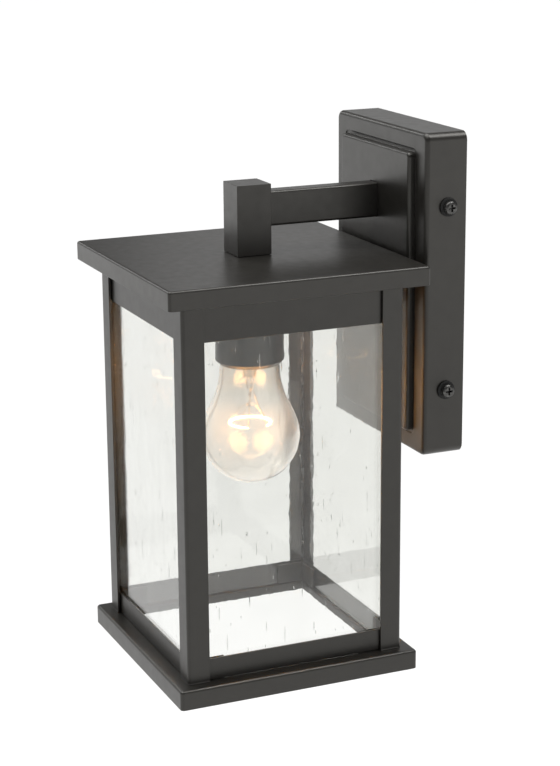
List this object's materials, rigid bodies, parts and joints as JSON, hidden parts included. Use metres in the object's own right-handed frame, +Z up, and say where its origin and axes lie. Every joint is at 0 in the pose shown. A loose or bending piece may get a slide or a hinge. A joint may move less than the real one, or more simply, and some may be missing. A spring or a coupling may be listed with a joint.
{
  "type": "outdoor wall lantern",
  "caption": "Square black steel wall lantern with four seeded glass panes and one screw-in bulb, hung from a short arm on a rectangular raised backplate.",
  "frame": {"origin": "centre of the backplate's back plane, which lies on the wall", "axes": "+Z up; +Y into the wall, so the lantern stands out towards -Y; +X to the right of a person facing the lantern"},
  "size_m": [0.161, 0.1942, 0.3227],
  "materials": {
    "black_powder_coat": "satin black powder coat with a fine grain",
    "black_rubber": "matt black sealing washer",
    "black_screw": "black oxide machine screw",
    "zinc_steel": "bright zinc plate",
    "green_steel": "green dyed zinc plate",
    "seeded_glass": "clear with drawn-out seed bubbles",
    "clear_glass": "clear blown glass",
    "porcelain": "glazed white porcelain",
    "brass": "drawn brass",
    "nickel": "nickel plated, slightly dull",
    "black_glass": "glossy black vitrite",
    "tungsten": "lit filament"
  },
  "bodies": {
    "fixture": {"backplate": "black_powder_coat", "mounting_pan": "zinc_steel", "side_screw_washer_right_upper": "black_rubber", "side_screw_right_upper": "black_screw", "side_screw_washer_right_lower": "black_rubber", "side_screw_right_lower": "black_screw", "side_screw_washer_left_upper": "black_rubber", "side_screw_left_upper": "black_screw", "side_screw_washer_left_lower": "black_rubber", "side_screw_left_lower": "black_screw", "ground_screw": "green_steel", "arm_tube": "black_powder_coat", "arm_end_plate": "zinc_steel", "weld_stud_upper": "zinc_steel", "stud_nut_upper": "zinc_steel", "weld_stud_lower": "zinc_steel", "stud_nut_lower": "zinc_steel", "hanger_block": "black_powder_coat", "roof": "black_powder_coat", "cage_top_plate": "black_powder_coat", "base_frame": "black_powder_coat", "corner_post_front_right": "black_powder_coat", "top_rail_front": "black_powder_coat", "bottom_rail_front": "black_powder_coat", "glass_pane_front": "seeded_glass", "glass_clip_front_right": "black_powder_coat", "corner_post_rear_right": "black_powder_coat", "top_rail_right": "black_powder_coat", "bottom_rail_right": "black_powder_coat", "glass_pane_right": "seeded_glass", "glass_clip_rear_right": "black_powder_coat", "corner_post_rear_left": "black_powder_coat", "top_rail_rear": "black_powder_coat", "bottom_rail_rear": "black_powder_coat", "glass_pane_rear": "seeded_glass", "glass_clip_rear_left": "black_powder_coat", "corner_post_front_left": "black_powder_coat", "top_rail_left": "black_powder_coat", "bottom_rail_left": "black_powder_coat", "glass_pane_left": "seeded_glass", "glass_clip_front_left": "black_powder_coat", "threaded_tube": "zinc_steel", "roof_lock_washer": "zinc_steel", "roof_nut": "zinc_steel", "socket_nut": "zinc_steel", "socket_cup": "black_powder_coat", "socket_body": "porcelain", "socket_screw_shell": "brass", "socket_contact_spring": "brass"},
    "bulb_base": {"bulb_contact": "nickel"},
    "bulb_head": {"bulb_glass": "clear_glass", "bulb_stem": "clear_glass", "bulb_filament": "tungsten", "bulb_lead_wire_right": "nickel", "bulb_lead_wire_left": "nickel", "bulb_cap": "nickel", "bulb_cap_insulator": "black_glass"}
  },
  "joints": [
    {"name": "bulb_travel", "type": "slide", "parent": "fixture", "child": "bulb_base", "axis": [0, 0, -1], "range_m": [0, 0.01814]},
    {"name": "bulb_turn", "type": "hinge", "parent": "bulb_base", "child": "bulb_head", "pos_m": [0, -0.1137, -0.0376], "axis": [0, 0, -1], "range_deg": [0, 1800]}
  ],
  "couplings": [
    {"joint": "bulb_turn", "follows": "bulb_travel", "rad_per_m": 1731.6}
  ]
}
